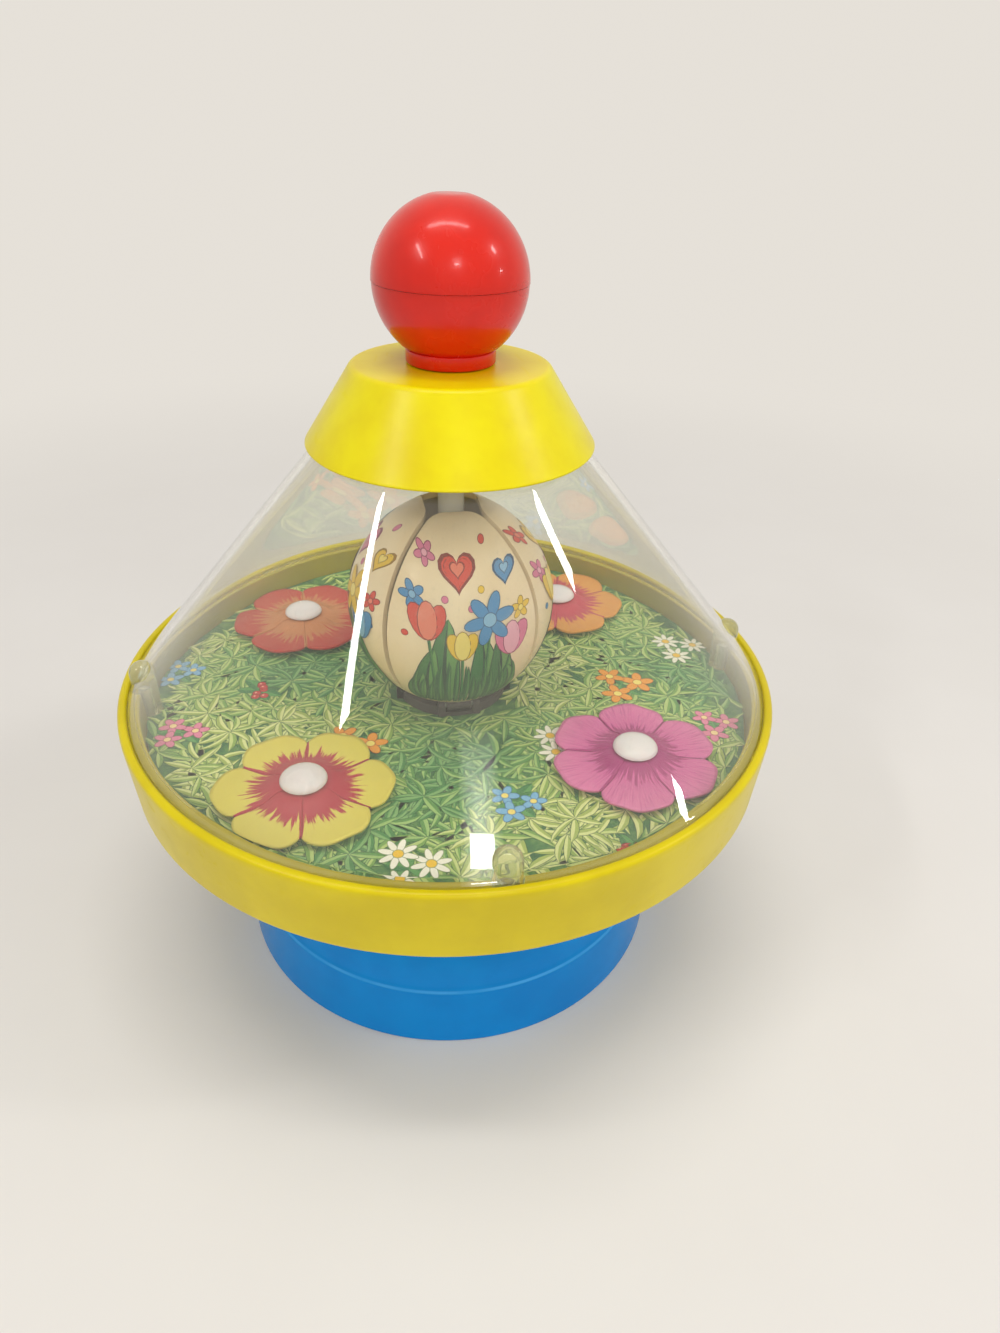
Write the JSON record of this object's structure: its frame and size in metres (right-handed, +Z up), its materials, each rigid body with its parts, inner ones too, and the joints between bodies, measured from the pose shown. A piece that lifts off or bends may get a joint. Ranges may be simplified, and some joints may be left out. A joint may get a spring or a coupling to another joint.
{
  "type": "spinning top",
  "caption": "Pump-action spinning top: domed foot, dish with a printed meadow disc, turning flowers and an opening egg under a clear cone, ball knob on a twisted rod.",
  "frame": {"origin": "on the floor, on the spin axis, at the middle of the foot's rim", "axes": "+Z up along the spin axis; X and Y run through the cone's screws and the middles of the egg petals; the flowers lie on the diagonals"},
  "size_m": [0.2028, 0.2028, 0.2298],
  "materials": {
    "foot_blue": "moulded, slightly rough, semi-gloss",
    "yellow_plastic": "moulded, smooth, semi-gloss",
    "clear_plastic": "transparent, polished, dusty",
    "meadow_print": "printed with grass and small flowers, satin",
    "knob_red": "polished, slightly translucent",
    "egg_cream": "printed with flowers and hearts, satin",
    "dark_plastic": "plain moulded",
    "white_plastic": "plain moulded, semi-gloss",
    "steel": "plated",
    "flower_magenta": "satin, darker streaks",
    "flower_orange": "satin, pink middle",
    "flower_red": "satin, orange middle",
    "flower_yellow": "satin, crimson middle"
  },
  "bodies": {
    "base": {"base_foot": "foot_blue", "centre_post": "white_plastic", "post_screw": "steel", "thrust_washer": "white_plastic", "post_clip": "steel"},
    "spinner": {"pan": "yellow_plastic", "meadow_disc": "meadow_print", "clear_cone": "clear_plastic", "collar": "yellow_plastic", "guide_tube": "clear_plastic", "egg_carrier": "dark_plastic", "hub_bush_lower": "white_plastic", "hub_bush_upper": "white_plastic", "hub_cap": "dark_plastic", "clutch_ring": "dark_plastic", "closing_spring": "steel", "cover_screw_1": "steel", "cover_screw_2": "steel", "cover_screw_3": "steel", "cover_screw_4": "steel", "petal_pin_1": "steel", "petal_pin_2": "steel", "petal_pin_3": "steel", "petal_pin_4": "steel", "flower_pin_magenta": "white_plastic", "flower_pin_orange": "white_plastic", "flower_pin_red": "white_plastic", "flower_pin_yellow": "white_plastic"},
    "plunger": {"knob_lower": "knob_red", "knob_upper": "knob_red", "twisted_rod": "steel", "rod_guide": "dark_plastic"},
    "nut": {"drive_nut": "dark_plastic"},
    "sleeve": {"closing_sleeve": "white_plastic"},
    "petal_1": {"egg_petal_1": "egg_cream"},
    "petal_2": {"egg_petal_2": "egg_cream"},
    "petal_3": {"egg_petal_3": "egg_cream"},
    "petal_4": {"egg_petal_4": "egg_cream"},
    "magenta_flower": {"flower_magenta": "flower_magenta"},
    "orange_flower": {"flower_orange": "flower_orange"},
    "red_flower": {"flower_red": "flower_red"},
    "yellow_flower": {"flower_yellow": "flower_yellow"}
  },
  "joints": [
    {"name": "spinner_spin", "type": "hinge", "parent": "base", "child": "spinner", "pos_m": [0, 0, 0.09], "axis": [0, 0, 1], "continuous": true},
    {"name": "knob_slide", "type": "slide", "parent": "base", "child": "plunger", "axis": [0, 0, 1], "range_m": [0, 0.075]},
    {"name": "nut_turn", "type": "hinge", "parent": "base", "child": "nut", "pos_m": [0, 0, 0.18], "axis": [0, 0, 1], "continuous": true},
    {"name": "petal_1_open", "type": "hinge", "parent": "spinner", "child": "petal_1", "pos_m": [0, -0.01621, 0.09], "axis": [1, 0, 0], "range_deg": [0, 55], "stiffness_Nm_per_rad": 0.0042, "springref_deg": -76.2},
    {"name": "petal_2_open", "type": "hinge", "parent": "spinner", "child": "petal_2", "pos_m": [0.01621, 0, 0.09], "axis": [0, 1, 0], "range_deg": [0, 55]},
    {"name": "petal_3_open", "type": "hinge", "parent": "spinner", "child": "petal_3", "pos_m": [0, 0.01621, 0.09], "axis": [-1, 0, 0], "range_deg": [0, 55]},
    {"name": "petal_4_open", "type": "hinge", "parent": "spinner", "child": "petal_4", "pos_m": [-0.01621, 0, 0.09], "axis": [0, -1, 0], "range_deg": [0, 55]},
    {"name": "sleeve_slide", "type": "slide", "parent": "spinner", "child": "sleeve", "axis": [0, 0, 1], "range_m": [0, 0.00362], "deforming": ["closing_spring"]},
    {"name": "magenta_flower_spin", "type": "hinge", "parent": "spinner", "child": "magenta_flower", "pos_m": [0.04738, -0.04738, 0.089], "axis": [0, 0, 1], "continuous": true},
    {"name": "orange_flower_spin", "type": "hinge", "parent": "spinner", "child": "orange_flower", "pos_m": [0.04738, 0.04738, 0.089], "axis": [0, 0, 1], "continuous": true},
    {"name": "red_flower_spin", "type": "hinge", "parent": "spinner", "child": "red_flower", "pos_m": [-0.04738, 0.04738, 0.089], "axis": [0, 0, 1], "continuous": true},
    {"name": "yellow_flower_spin", "type": "hinge", "parent": "spinner", "child": "yellow_flower", "pos_m": [-0.04738, -0.04738, 0.089], "axis": [0, 0, 1], "continuous": true}
  ],
  "couplings": [
    {"joint": "nut_turn", "follows": "knob_slide", "rad_per_m": -104.72},
    {"joint": "petal_2_open", "follows": "petal_1_open", "ratio": 1},
    {"joint": "petal_3_open", "follows": "petal_1_open", "ratio": 1},
    {"joint": "petal_4_open", "follows": "petal_1_open", "ratio": 1},
    {"joint": "sleeve_slide", "follows": "petal_1_open", "m_per_rad": 0.003757}
  ]
}
